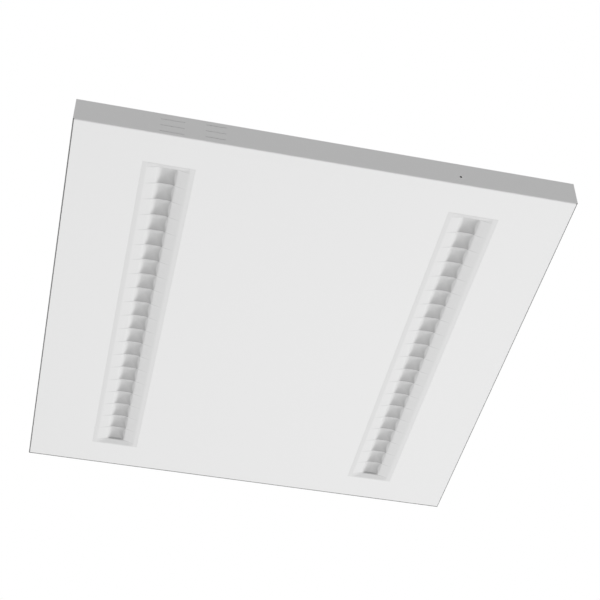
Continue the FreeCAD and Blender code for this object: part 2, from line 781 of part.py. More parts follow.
def hold_down_clips():
    """Four spring-steel arms on shoulder screws that swing out over the grid's tees."""
    head = document.addObject("Part::Prism", "pivot_head")
    head.Polygon = 6
    head.setExpression("Circumradius", expression("screw_head_width / sqrt(3)"))
    head.setExpression("Height", expression("screw_head_height"))
    place(head, z="clip_gauge + 2 * clip_gap")
    shoulder = rod("pivot_shoulder", ("0", "0", "-screw_length / 2"), "pivot_radius",
                   "screw_length / 2 + clip_gauge + 2 * clip_gap + 0.5")
    pivots = corners_of(CLIP_LINE, "clip_reach")
    copies("clip_screws", join("pivot_screw", [head, shoulder]),
           [(x, y, "wall_height", 0) for x, y in pivots])
    for index, (x, y) in enumerate(pivots, start=1):
        body = new_body(f"hold_down_clip_{index}")
        half = "(clip_width / 2)"
        arm = new_sketch(body, "arm_outline", "XY_Plane")
        draw_outline(
            arm,
            [(f"-{half}", "0"), (half, "0"), (half, "clip_length"), (f"-{half}", "clip_length")],
            {0: HALF_TURN},
        )
        draw_circle(arm, "0", "0", "pivot_radius + pivot_clearance")
        pad(body, arm, "arm", "clip_gauge")
        tab = new_sketch(body, "tab_outline", "XY_Plane", "clip_gauge / 2")
        draw_rectangle(tab, f"-{half}", "clip_length - clip_gauge", half, "clip_length")
        pad(body, tab, "finger_tab", "clip_tab")
        place(body, x, y, CLIP_BASE, 180 if number(y) > 0 else 0)


# ---------------------------------------------------------------- driver


def driver():
    """Constant-current driver that hangs under the back cover, between the two optics."""
    base = block(
        "driver_base_plate",
        ("-driver_width / 2", f"{DRIVER_LOW_END} - driver_lug", "wall_height - driver_gauge"),
        ("driver_width", "driver_length + 2 * driver_lug", "driver_gauge"),
    )
    holes = [
        rod(f"driver_lug_hole_{index}", ("0", y, "wall_height - 2 * driver_gauge"),
            "screw_radius + screw_clearance", "3 * driver_gauge")
        for index, y in enumerate(DRIVER_SCREWS)
    ]
    keep(cut("driver_base", base, join("driver_lug_holes", holes)), "driver_base")

    shell = block("driver_shell", ("-driver_width / 2", DRIVER_LOW_END, DRIVER_BOTTOM),
                  ("driver_width", "driver_length", "driver_height"))
    hollow = block(
        "driver_hollow",
        ("-driver_width / 2 + driver_gauge", f"{DRIVER_LOW_END} + driver_gauge",
         f"{DRIVER_BOTTOM} + driver_gauge"),
        ("driver_width - 2 * driver_gauge", "driver_length - 2 * driver_gauge", "driver_height"),
    )
    board_under = f"({DRIVER_BOTTOM} + driver_height - driver_board_height - {BOARD_GAUGE})"
    terminal_low = f"({board_under} - driver_terminal_height)"
    terminals = []
    for name, y in (("output", DRIVER_LOW_END),
                    ("input", f"{DRIVER_HIGH_END} - driver_terminal_depth")):
        for use in ("window", "terminal"):
            piece = block(
                f"driver_{name}_{use}", ("-driver_terminal_width / 2", y, terminal_low),
                ("driver_terminal_width", "driver_terminal_depth", "driver_terminal_height"),
            )
            if use == "window":
                terminals.append(piece)
            else:
                keep(piece, f"driver_{name}_terminal")
    keep(cut("driver_cover", shell, join("driver_openings", [hollow] + terminals)),
         "driver_cover")
    keep(
        block("driver_circuit_board",
              ("-driver_board_width / 2", f"{DRIVER_LOW_END} + 2 * driver_gauge", board_under),
              ("driver_board_width", "driver_length - 4 * driver_gauge", BOARD_GAUGE)),
        "driver_circuit_board",
    )
    keep(
        block("driver_transformer", ("-14", "driver_middle - 15", f"{board_under} - 12"),
              ("28", "30", "12")),
        "driver_transformer",
    )
    capacitor = rod("capacitor", ("0", "0", "-12.5"), "5", "12.5")
    copies("driver_capacitors", capacitor,
           [("0", f"driver_middle + {away}", board_under, 0) for away in (-60, 60)])


# ---------------------------------------------------------------- connection box


def connection_box():
    """Moulded box on the back cover, open at the top, with posts for the cable clamp."""
    body = new_body("connection_box")
    outline = new_sketch(body, "box_outline", "XY_Plane", COVER_TOP)
    draw_rounded(outline, "0", "box_middle", "box_length", "box_depth", "box_corner")
    pad(body, outline, "box_walls", "box_height")
    inside = new_sketch(body, "box_inside", "XY_Plane", BOX_TOP)
    draw_rectangle(
        inside, "-box_length / 2 + box_wall", "box_middle - box_depth / 2 + box_wall",
        "box_length / 2 - box_wall", "box_middle + box_depth / 2 - box_wall",
    )
    pocket(body, inside, "box_hollow", "box_height - box_wall")
    posts = new_sketch(body, "clamp_posts", "XY_Plane", BOX_FLOOR)
    for side in (-1, 1):
        middle = f"({CABLE_LINE} + {side} * clamp_screw_spacing / 2)"
        draw_rectangle(posts, f"{CLAMP_AT} - clamp_width / 2", f"{middle} - clamp_width / 2",
                       f"{CLAMP_AT} + clamp_width / 2", f"{middle} + clamp_width / 2")
    pad(body, posts, "clamp_post_pads", "cable_height")
    post_holes = new_sketch(body, "clamp_post_holes", "XY_Plane", f"{BOX_FLOOR} + cable_height")
    for side in (-1, 1):
        draw_circle(post_holes, CLAMP_AT, f"{CABLE_LINE} + {side} * clamp_screw_spacing / 2",
                    "screw_radius + screw_clearance")
    pocket(body, post_holes, "clamp_post_bores", "screw_length")

    feet = new_sketch(body, "snap_feet", "XY_Plane", COVER_TOP)
    snap_feet(feet)
    pad(body, feet, "snap_foot_pads", "sheet_gauge + snap_barb + 1.2", backwards=True)
    barbs = new_sketch(body, "snap_barbs", "XY_Plane", "wall_height - 0.1")
    snap_feet(barbs, "snap_barb")
    pad(body, barbs, "snap_barb_pads", "snap_barb", backwards=True)

    ears = new_sketch(body, "ear_profile", "YZ_Plane", "-(hinge_half_span + hinge_ear)")
    wall = "(box_middle + box_depth / 2 - box_wall / 2)"
    low, high = f"({HINGE_HEIGHT} - hinge_barrel)", f"({HINGE_HEIGHT} + hinge_barrel)"
    draw_outline(ears, [(wall, low), (HINGE_LINE, low), (HINGE_LINE, high), (wall, high)],
                 {1: HALF_TURN})
    draw_circle(ears, HINGE_LINE, HINGE_HEIGHT, "hinge_pin_radius")
    first = pad(body, ears, "hinge_ear", "hinge_ear")
    pattern(body, "hinge_ears", [first], "X_Axis", "2 * hinge_half_span + hinge_ear", "2")

    floor = new_sketch(body, "floor_holes", "XY_Plane", BOX_FLOOR)
    draw_rectangle(
        floor, "-supply_width / 2 - bushing_wall", f"{SUPPLY_HOLE} - {BUSHING_HALF}",
        "supply_width / 2 + bushing_wall", f"{SUPPLY_HOLE} + {BUSHING_HALF}",
    )
    pocket(body, floor, "floor_cut", "box_wall")
    entry = new_sketch(body, "cable_entry", "YZ_Plane", "-box_length / 2")
    draw_circle(entry, CABLE_LINE, CABLE_AXIS, "grommet_radius")
    pocket(body, entry, "cable_entry_cut", "box_wall", forwards=True)


def box_lid():
    """Lid of the connection box with the middle barrel of its hinge and a latch tongue."""
    body = new_body("box_lid")
    base = f"({BOX_TOP} + lid_gap)"
    outline = new_sketch(body, "lid_outline", "XY_Plane", base)
    front = "(box_middle - box_depth / 2)"
    back = f"({HINGE_LINE} + hinge_barrel)"
    draw_rounded(outline, "0", f"({front} + {back}) / 2", "box_length", f"{back} - {front}",
                 "box_corner")
    pad(body, outline, "lid_plate", "lid_thickness")
    barrel = new_sketch(body, "barrel_profile", "YZ_Plane")
    left, right = f"({HINGE_LINE} - hinge_barrel)", f"({HINGE_LINE} + hinge_barrel)"
    draw_outline(
        barrel,
        [(left, f"{base} + lid_thickness / 2"), (left, HINGE_HEIGHT), (right, HINGE_HEIGHT),
         (right, f"{base} + lid_thickness / 2")],
        {1: HALF_TURN},
    )
    draw_circle(barrel, HINGE_LINE, HINGE_HEIGHT, "hinge_pin_radius + hinge_clearance")
    pad(body, barrel, "barrel", "2 * (hinge_half_span - lid_gap)", both_ways=True)
    tongue = new_sketch(body, "latch_tongue", "XY_Plane", f"{base} + lid_thickness / 2")
    draw_rectangle(tongue, "-9", f"{front} - lid_gap - 1.4", "9", f"{front} - lid_gap")
    pad(body, tongue, "tongue", "8", backwards=True)
    bridge = new_sketch(body, "tongue_bridge", "XY_Plane", base)
    draw_rectangle(bridge, "-9", f"{front} - lid_gap - 1.4", "9", f"{front} + 1")
    pad(body, bridge, "bridge", "lid_thickness")
    pin = document.addObject("Part::Cylinder", "lid_hinge_pin")
    pin.setExpression("Radius", expression("hinge_pin_radius"))
    pin.setExpression("Height", expression("2 * (hinge_half_span + hinge_ear)"))
    pin.Placement = Placement(Vector(0, 0, 0), Rotation(Vector(0, 1, 0), 90))
    for axis, text in zip("xyz", ("-(hinge_half_span + hinge_ear)", HINGE_LINE, HINGE_HEIGHT)):
        pin.setExpression(f"Placement.Base.{axis}", expression(text))
    keep(pin, "lid_hinge_pin")


def terminal_block():
    """Three-pole push-in terminal with a chamber, contact bar, clamp spring and release
    button for each pole."""
    low_y, high_y = f"({BLOCK_MIDDLE} - block_depth / 2)", f"({BLOCK_MIDDLE} + block_depth / 2)"
    top = f"({BOX_FLOOR} + block_height)"
    chamber_low, chamber_height = f"({BOX_FLOOR} + 2)", "(block_height - 4)"
    button_low = f"({top} - 3)"
    moulding = block("block_moulding", ("-block_length / 2", low_y, BOX_FLOOR),
                     ("block_length", "block_depth", "block_height"))
    hollows = []
    for pole in range(3):
        middle = f"({pole - 1} * pole_pitch)"
        hollows.append(block(
            f"chamber_{pole}", (f"{middle} - pole_width / 2", f"{low_y} + 2", chamber_low),
            ("pole_width", "block_depth - 4", chamber_height)))
        hollows.append(block(
            f"button_slot_{pole}",
            (f"{middle} - button_length / 2 - button_clearance", f"{BUTTON_LOW} - button_clearance",
             f"{top} - 3"),
            ("button_length + 2 * button_clearance", "button_depth + 2 * button_clearance", "4")))
        hollows.append(block(
            f"wire_hole_{pole}",
            (f"{middle} - wire_hole / 2", f"{high_y} - 4", f"{chamber_low} + 3.2"),
            ("wire_hole", "6", "wire_hole")))
        keep(
            block(f"release_button_{pole + 1}",
                  (f"{middle} - button_length / 2", BUTTON_LOW, button_low),
                  ("button_length", "button_depth", "3 + button_proud")),
            f"release_button_{pole + 1}",
        )
    keep(cut("terminal_block", moulding, join("block_hollows", hollows)), "terminal_block")
    poles = [(f"{pole - 1} * pole_pitch", "0", "0", 0) for pole in range(3)]
    bar = block("contact_bar", ("-2.5", f"{low_y} + 3", chamber_low), ("5", "block_depth - 6", "2"))
    copies("contact_bars", bar, poles)
    spring = document.addObject("PartDesign::Body", "clamp_spring")
    profile = new_sketch(spring, "spring_profile", "YZ_Plane")
    spring_low = f"({chamber_low} + 2)"
    spring_high = f"({button_low} - button_travel - 0.4)"
    draw_outline(
        profile,
        [
            (f"{BUTTON_LOW} - 1", spring_low),
            (f"{BUTTON_LOW} + 11", spring_low),
            (f"{BUTTON_LOW} + 1", spring_high),
            (f"{BUTTON_LOW}", spring_high),
            (f"{BUTTON_LOW} + 9", f"{spring_low} + 0.5"),
            (f"{BUTTON_LOW} - 1", f"{spring_low} + 0.5"),
        ],
    )
    pad(spring, profile, "spring_strip", "5", both_ways=True)
    copies("clamp_springs", spring, poles)


def cable_entry():
    """Flanged rubber grommet in the box wall and the clamp bar that grips the mains cable."""
    body = new_body("cable_grommet")
    profile = new_sketch(body, "grommet_profile", "XY_Plane")
    outer = "(-box_length / 2)"
    flange = "((grommet_length - box_wall) / 2)"
    draw_outline(
        profile,
        [
            (f"{outer} - {flange}", "cable_hole_radius"),
            (f"{outer} + box_wall + {flange}", "cable_hole_radius"),
            (f"{outer} + box_wall + {flange}", "grommet_radius"),
            (outer, "grommet_radius"),
            (outer, "grommet_flange"),
            (f"{outer} - {flange}", "grommet_flange"),
        ],
    )
    ring = body.newObject("PartDesign::Revolution", "grommet_ring")
    ring.Profile = profile
    ring.ReferenceAxis = (profile, ["H_Axis"])
    ring.Angle = 360
    document.recompute()
    place(body, "0", CABLE_LINE, CABLE_AXIS)

    bar = new_body("cable_clamp")
    plate = new_sketch(bar, "clamp_profile", "YZ_Plane", f"{CLAMP_AT} - clamp_width / 2")
    half = "(clamp_length / 2)"
    base = f"({CABLE_AXIS})"
    draw_outline(
        plate,
        [
            (f"{CABLE_LINE} - {half}", base),
            (f"{CABLE_LINE} - cable_hole_radius", base),
            (f"{CABLE_LINE} + cable_hole_radius", base),
            (f"{CABLE_LINE} + {half}", base),
            (f"{CABLE_LINE} + {half}", f"{base} + clamp_thickness"),
            (f"{CABLE_LINE} + 7", f"{base} + clamp_thickness"),
            (f"{CABLE_LINE} + 4", f"{base} + 1.8 * clamp_thickness"),
            (f"{CABLE_LINE} - 4", f"{base} + 1.8 * clamp_thickness"),
            (f"{CABLE_LINE} - 7", f"{base} + clamp_thickness"),
            (f"{CABLE_LINE} - {half}", f"{base} + clamp_thickness"),
        ],
        {1: "-" + HALF_TURN},
    )
    pad(bar, plate, "clamp_bar", "clamp_width")
    holes = new_sketch(bar, "clamp_holes", "XY_Plane", f"{base} + clamp_thickness")
    screw = document.getObject("screw")
    places = []
    for side in (-1, 1):
        y = f"{CABLE_LINE} + {side} * clamp_screw_spacing / 2"
        draw_circle(holes, CLAMP_AT, y, "screw_radius + screw_clearance")
        places.append((CLAMP_AT, y, f"{base} + clamp_thickness", 0))
    pocket(bar, holes, "clamp_hole_cuts", "clamp_thickness")
    copies("clamp_screws", screw, places)


# ---------------------------------------------------------------- leads


def step_ribbon(body, name, way, start, bend, end, high, low):
    """Outline in YZ of a flat lead that runs along Y, steps down and runs on the same way."""
    radius, half = "lead_bend", "(lead_thickness / 2)"
    sketch = new_sketch(body, name, "YZ_Plane")
    near, far = f"({bend} - {way} * {radius})", f"({bend} + {way} * {radius})"
    corners = [
        (start, f"{high} + {half}"),
        (near, f"{high} + {half}"),
        (f"{bend} + {way} * {half}", f"{high} - {radius}"),
        (f"{bend} + {way} * {half}", f"{low} + {radius}"),
        (far, f"{low} + {half}"),
        (end, f"{low} + {half}"),
        (end, f"{low} - {half}"),
        (far, f"{low} - {half}"),
        (f"{bend} - {way} * {half}", f"{low} + {radius}"),
        (f"{bend} - {way} * {half}", f"{high} - {radius}"),
        (near, f"{high} - {half}"),
        (start, f"{high} - {half}"),
    ]
    turn, back = ("", "-") if way < 0 else ("-", "")
    outer, inner = f"({radius} + {half})", f"({radius} - {half})"
    draw_outline(sketch, corners, {1: turn + outer, 3: back + inner, 7: turn + outer,
                                   9: back + inner})
    return sketch


def leads():
    """Flat leads: mains to the driver, driver to both boards, and the earth bond."""
    supply = new_body("supply_lead")
    route = step_ribbon(supply, "supply_route", -1, f"{BLOCK_MIDDLE} - block_depth / 2",
                        SUPPLY_HOLE, DRIVER_HIGH_END, f"{BOX_FLOOR} + 9", LEAD_MIDDLE)
    pad(supply, route, "supply_ribbon", "supply_width", both_ways=True)

    for name, side in each_side():
        body = new_body(f"output_lead_{name}")
        route = new_sketch(body, "output_route", "XY_Plane", LEAD_BASE)
        half, radius = "(lead_width / 2)", "lead_bend"
        start, line = f"({side} * 6)", "(-connector_at)"
        end = f"{side} * (slot_spacing / 2 - connector_width / 2)"
        inner_x, outer_x = f"({start} + {side} * {half})", f"({start} - {side} * {half})"
        turn = f"({start} + {side} * {radius})"
        bend = f"({line} + {radius})"
        corners = [
            (inner_x, DRIVER_LOW_END),
            (outer_x, DRIVER_LOW_END),
            (outer_x, bend),
            (turn, f"{line} - {half}"),
            (end, f"{line} - {half}"),
            (end, f"{line} + {half}"),
            (turn, f"{line} + {half}"),
            (inner_x, bend),
        ]
        outer, inner = f"({radius} + {half})", f"({radius} - {half})"
        signs = ("", "-") if side > 0 else ("-", "")
        draw_outline(route, corners, {2: signs[0] + outer, 6: signs[1] + inner})
        pad(body, route, "output_ribbon", "lead_thickness")

    saddle = document.addObject("PartDesign::Body", "lead_saddle")
    profile = new_sketch(saddle, "saddle_profile", "YZ_Plane")
    half, wall, line = "(lead_width / 2)", "1.2", "(-connector_at)"
    draw_rectangle(profile, f"{line} - {half} - {wall}", f"{LEAD_BASE} - {wall}",
                   f"{line} + {half} + {wall}", "wall_height")
    draw_rectangle(profile, f"{line} - {half}", LEAD_BASE, f"{line} + {half}",
                   f"{LEAD_BASE} + lead_thickness")
    pad(saddle, profile, "saddle_strip", "6", both_ways=True)
    copies("lead_saddles", saddle, [(x, "0", "0", 0) for x in ("-120", "-60", "60", "120")])

    inner = block("bushing_hole", ("-supply_width / 2", f"{SUPPLY_HOLE} - lead_thickness / 2", "0"),
                  ("supply_width", "lead_thickness", "100"))
    neck = block("bushing_neck", ("-supply_width / 2 - bushing_wall",
                                  f"{SUPPLY_HOLE} - {BUSHING_HALF}", "wall_height - 1.2"),
                 ("supply_width + 2 * bushing_wall", f"2 * {BUSHING_HALF}",
                  "sheet_gauge + box_wall + 1.2"))
    flange = block("bushing_flange", ("-supply_width / 2 - 2 * bushing_wall",
                                      f"{SUPPLY_HOLE} - {BUSHING_HALF} - bushing_wall",
                                      "wall_height - 1.2"),
                   ("supply_width + 4 * bushing_wall", f"2 * {BUSHING_HALF} + 2 * bushing_wall",
                    "1.2"))
    keep(cut("lead_bushing", join("bushing_solid", [neck, flange]), inner), "lead_bushing")


def earth_bond():
    """Welded stud on the tray, tag, nut, and the flat lead from the driver's input."""
    stud_line = f"({DRIVER_HIGH_END} + 46)"
    keep(rod("earth_stud", (EARTH_X, stud_line, "sheet_gauge"), "earth_stud_radius", "11"),
         "earth_stud")
    tag_plate = block("tag_plate", (f"{EARTH_X} - 5", f"{stud_line} - 12", "sheet_gauge + 1"),
                      ("10", "17", "0.8"))
    tag_hole = rod("tag_hole", (EARTH_X, stud_line, "0"), "earth_stud_radius + 0.1", "5")
    keep(cut("earth_tag", tag_plate, tag_hole), "earth_tag")
    flats = document.addObject("Part::Prism", "nut_flats")
    flats.Polygon = 6
    flats.setExpression("Circumradius", expression("screw_head_width / sqrt(3)"))
    flats.Height = 3.2
    place(flats, EARTH_X, stud_line, "sheet_gauge + 1.8")
    bore = rod("nut_bore", (EARTH_X, stud_line, "0"), "earth_stud_radius + 0.05", "8")
    keep(cut("earth_nut", flats, bore), "earth_nut")
    lead = new_body("earth_lead")
    route = step_ribbon(lead, "earth_route", 1, DRIVER_HIGH_END, f"{DRIVER_HIGH_END} + 14",
                        f"{stud_line} - 12", LEAD_MIDDLE, "sheet_gauge + 1.4")
    pad(lead, route, "earth_ribbon", "3", both_ways=True)
    place(lead, EARTH_X)


# ---------------------------------------------------------------- build and write

housing_tray()
back_cover()
for optic_name, optic_side in each_side():
    louvre_insert(optic_name, optic_side)
    light_engine(optic_name, optic_side)
end_hooks()
hexagon_screws()
hold_down_clips()
driver()
connection_box()
box_lid()
terminal_block()
cable_entry()
leads()
earth_bond()
document.recompute()

for made in document.Objects:
    if "Invalid" in made.State or "Error" in made.State:
        raise RuntimeError(f"{made.Label} did not build: {made.State}")

os.makedirs("parts", exist_ok=True)
for piece in SUB_PARTS:
    if piece.Shape.isNull() or not piece.Shape.isValid() or not piece.Shape.Solids:
        raise RuntimeError(f"{piece.Label} has no valid solid")
    piece.Shape.exportStep(f"parts/{piece.Label}.step")
    print(f"{piece.Label:24s} solids {len(piece.Shape.Solids):3d}  mm3 {piece.Shape.Volume:12.1f}")
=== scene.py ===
import math

import bmesh
import bpy
from mathutils import Matrix, Vector


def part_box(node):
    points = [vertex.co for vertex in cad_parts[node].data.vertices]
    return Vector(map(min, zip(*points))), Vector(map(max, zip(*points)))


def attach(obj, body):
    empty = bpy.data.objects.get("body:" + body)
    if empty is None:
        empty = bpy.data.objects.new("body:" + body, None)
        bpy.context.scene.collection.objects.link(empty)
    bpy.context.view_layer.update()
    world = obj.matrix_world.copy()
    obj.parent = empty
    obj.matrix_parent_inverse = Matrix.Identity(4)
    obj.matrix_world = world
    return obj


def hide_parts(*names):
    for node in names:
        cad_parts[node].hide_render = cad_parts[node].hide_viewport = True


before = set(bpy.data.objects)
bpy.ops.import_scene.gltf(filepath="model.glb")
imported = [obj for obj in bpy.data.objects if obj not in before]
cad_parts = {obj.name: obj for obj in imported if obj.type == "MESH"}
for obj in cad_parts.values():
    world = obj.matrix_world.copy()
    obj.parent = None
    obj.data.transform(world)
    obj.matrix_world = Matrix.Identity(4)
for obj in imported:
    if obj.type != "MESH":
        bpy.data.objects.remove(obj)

bl_info = {
    "name": "Recessed troffer light",
    "version": (1, 0, 0),
    "blender": (4, 5, 0),
    "location": "3D View > Sidebar > Troffer",
    "description": "Finishes and studio for a lay-in ceiling light with two louvre strips",
    "category": "Object",
}

MM = 0.001
TOUCH = 1e-6  # nearer than this is the same place
SHARP_ANGLE = math.radians(30)  # the strips' edges that turn more than this stay crisp

# Painted shade: the grey line on the folds of the visible face, where the bends turn away from the
# light.
FAR_SHADE_REACH = 1.0 * MM  # its extra width along the far edge
FOLD_SHADE_SOLID = 0.8  # share of its width at which it has its full colour
FOLD_SHADE_HEIGHTS = (1.6 * MM, 1.2 * MM)  # on the walls, where it starts and where it is full

# Grid lines of a louvre strip: along one dish, and from the middle line of the strip outwards.
DISH_LINES = 24
ACROSS_LINES = (14, 26, 28, 32)  # at the mouth, the rim, the slot's edge and the lip's edge
END_LINES = (3, 5, 9)  # past the last dish, at the end's rim, slot's edge and lip's edge
ARC_LIMIT = 0.98  # share of an arc's radius past which it drops no further

# Grey of a louvre strip's dishes: partly the moulding's own darker tone, partly painted shade,
# with a painted highlight on the -X side.
# Across a dish, 0 is its middle and 1 its side. Along it, 0 is the ridge towards -Y and 1 the one
# towards +Y, and for the ridge line 1 is either ridge.
WAIST = 0.84  # half width of the grey half way along a dish, as a share of the mouth's
FLARE = 0.20  # how much wider it is at the ridges
LEFT_FADE = (-1.05, -0.5)  # on the -X side, where the grey starts and where it is full; its long fade is a painted highlight on walls that face the lower lamp
RIGHT_FADE = (1.0, 0.8)  # the same on the +X side
FAR_FADE = (0.0, 0.9)  # the same for FAR_PAINTED_SHADE, along a dish
RIDGE_FADE = (0.90, 1.0)  # the same for RIDGE_PAINTED_SHADE
CREASE_FADE = (2.2, 1.0)  # the same for the painted shade in the creases, across the flanks
HEIGHT_FADE = 1.0 * MM  # rise past the mouth's edge over which the grey comes in
RIM_FADE = 0.4 * MM  # width over which the rim's painted shade comes in
EVEN_TONE_AND_SHADE = 0.55  # everywhere in a dish: partly the moulding's darker tone, partly painted shade of a deep cell
FAR_PAINTED_SHADE = 0.35  # painted shade, added towards the ridge on the +Y side
RIDGE_PAINTED_SHADE = 0.35  # painted shade, a dark line added beside each ridge
CASE_SHADE = 0.88  # the driver's lacquer, as a share of the powder coat's colour

# The camera was fitted to the corners of the visible face and the near wall.
CAMERA_PLACE = Vector((-0.2579, -1.2891, -1.2774))
CAMERA_RIGHT = Vector((0.97712, -0.21266, -0.00318))
CAMERA_FORWARD = Vector((0.15058, 0.68117, 0.71647))
SENSOR_WIDTH = 36.0  # millimetres

# Lamps, in metres from the middle of the visible face. The size is a lamp's diameter.
LOWER_LAMP = {"place": (2.2, 1.0, -4.4), "target": (-0.7, -0.5, 0), "size": 2.0}
UPPER_LAMP = {"place": (-0.6, 0.9, 1.9), "target": (0, 0, 0), "size": 1.6}
FLOOR_SIDES = 96
FLOOR_FADE = (0.3, 0.95)  # shares of the floor's radius between which it turns white


# ------------------------------------------------------------------ shader helpers


class Value:
    """A socket of a shader tree, with arithmetic that adds the Math nodes."""

    def __init__(self, tree, socket):
        self.tree = tree
        self.socket = socket

    def __add__(self, other):
        return maths("ADD", self, other)

    def __radd__(self, other):
        return maths("ADD", other, self)

    def __sub__(self, other):
        return maths("SUBTRACT", self, other)

    def __rsub__(self, other):
        return maths("SUBTRACT", other, self)

    def __mul__(self, other):
        return maths("MULTIPLY", self, other)

    def __rmul__(self, other):
        return maths("MULTIPLY", other, self)


def add_node(tree, kind, settings=None, sockets=None, output=0):
    """Any node: its settings first, then its sockets' links and numbers."""
    node = tree.nodes.new(kind)
    for name, value in (settings or {}).items():
        setattr(node, name, value)
    for name, value in (sockets or {}).items():
        if isinstance(value, Value):
            tree.links.new(value.socket, node.inputs[name])
        else:
            node.inputs[name].default_value = value
    return Value(tree, node.outputs[output])


def maths(operation, *operands):
    """A Math node on values and numbers."""
    tree = next(operand.tree for operand in operands if isinstance(operand, Value))
    return add_node(tree, "ShaderNodeMath", {"operation": operation}, dict(enumerate(operands)))


def step(value, start, end):
    """0 at the start and 1 at the end, smoothly."""
    return add_node(value.tree, "ShaderNodeMapRange", {"interpolation_type": "SMOOTHSTEP"},
                    {"Value": value, "From Min": start, "From Max": end})


def join_surface(tree, kind, surface):
    """The tree's output node, with the surface linked to it."""
    tree.links.new(surface.socket, tree.nodes.new(kind).inputs["Surface"])


class Finish:
    """One surface finish: a Principled shader whose patterns read Object coordinates."""

    def __init__(self, name, colour, roughness, metallic=0.0, **constants):
        self.material = bpy.data.materials.new(name)
        self.material.use_nodes = True
        self.tree = self.material.node_tree
        self.shader = next(n for n in self.tree.nodes if n.type == "BSDF_PRINCIPLED")
        self.place = add_node(self.tree, "ShaderNodeTexCoord", output="Object")
        self.colour = (*colour, 1.0)
        self.put("Base Color", self.colour)
        self.put("Roughness", roughness)
        self.put("Metallic", metallic)
        for socket, value in constants.items():
            self.put(socket.replace("_", " ").title().replace("Ior", "IOR"), value)

    def put(self, socket, value):
        """Sets one of the shader's sockets, or links a value to it."""
        if isinstance(value, Value):
            self.tree.links.new(value.socket, self.shader.inputs[socket])
        else:
            self.shader.inputs[socket].default_value = value

    def axes(self):
        """X, Y and Z of a place on the surface, as three values."""
        across = add_node(self.tree, "ShaderNodeSeparateXYZ", {}, {0: self.place})
        return [Value(self.tree, output) for output in across.socket.node.outputs]

    def tint(self, mask, colour):
        """The base colour, turned towards another one where the mask is 1."""
        mixed = add_node(self.tree, "ShaderNodeMix", {"data_type": "RGBA"},
                         {"Factor": mask, 6: self.colour, 7: (*colour, 1.0)}, output=2)
        self.put("Base Color", mixed)

    def stretched(self, along):
        """The place, scaled so that a pattern on it is drawn out along the axes."""
        return add_node(self.tree, "ShaderNodeMapping", {"vector_type": "TEXTURE"},
                        {"Vector": self.place, "Scale": along})

    def noise(self, size, detail=2.0, along=None):
        """Noise between about 0 and 1 whose lumps are size metres across."""
        place = self.stretched(along) if along else self.place
        return add_node(self.tree, "ShaderNodeTexNoise", {},
                        {"Vector": place, "Scale": 1.0 / size, "Detail": detail})

    def mottle(self, size, amount, dark=0.8, along=None):
        """The base colour, turned by up to amount towards a darker one where noise is high."""
        shade = [channel * dark for channel in self.colour[:3]]
        self.tint(self.noise(size, along=along) * amount, shade)
        return self

    def vary_roughness(self, size, low, high, along=None):
        """Roughness between low and high, in lumps size metres across."""
        self.put("Roughness", self.noise(size, along=along) * (high - low) + low)
        return self

    def relief(self, size, depth, detail=2.0, along=None):
        """Bumps size metres across and depth metres deep."""
        bump = add_node(self.tree, "ShaderNodeBump", {},
                        {"Height": self.noise(size, detail, along), "Distance": depth,
                         "Strength": 1.0})
        self.put("Normal", bump)
        return self


def dress(finish, *nodes):
    """Gives a finish to CAD nodes."""
    for name in nodes:
        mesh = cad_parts[name].data
        mesh.materials.clear()
        mesh.materials.append(finish.material)


# ------------------------------------------------------------------ properties


class TrofferFinishes(bpy.types.PropertyGroup):
    """Colours, and the width of the painted shade on the folds."""

    steel: bpy.props.FloatVectorProperty(
        name="Painted steel", description="Powder coat of the tray and the back cover",
        subtype="COLOR", default=(0.80, 0.80, 0.80), min=0, max=1)
    # Grey and width of the painted shade along the left, right and far folds of the face
    fold_shade: bpy.props.FloatVectorProperty(
        name="Folds", description="Thin coat on the left, right and far folds of the face",
        subtype="COLOR", default=(0.20, 0.20, 0.20), min=0, max=1)
    fold_shade_width: bpy.props.FloatProperty(
        name="Fold line", description="Width of that thin coat", default=1.7 * MM,
        unit="LENGTH")
    louvre: bpy.props.FloatVectorProperty(
        name="Louvres", description="Moulded louvre strips",
        subtype="COLOR", default=(0.73, 0.73, 0.73), min=0, max=1)
    # Grey that the dishes turn to: partly their moulding's darker tone, partly painted shade; it
    # also colours the painted shade on the rims, ends and creases
    dish: bpy.props.FloatVectorProperty(
        name="Dishes", description="Thin middle of the louvre strips' dishes",
        subtype="COLOR", default=(0.46, 0.46, 0.46), min=0, max=1)
    box: bpy.props.FloatVectorProperty(
        name="Connection box", description="Moulded box and its lid",
        subtype="COLOR", default=(0.52, 0.53, 0.54), min=0, max=1)
    button: bpy.props.FloatVectorProperty(
        name="Release buttons", description="Buttons of the terminal block",
        subtype="COLOR", default=(0.80, 0.28, 0.04), min=0, max=1)


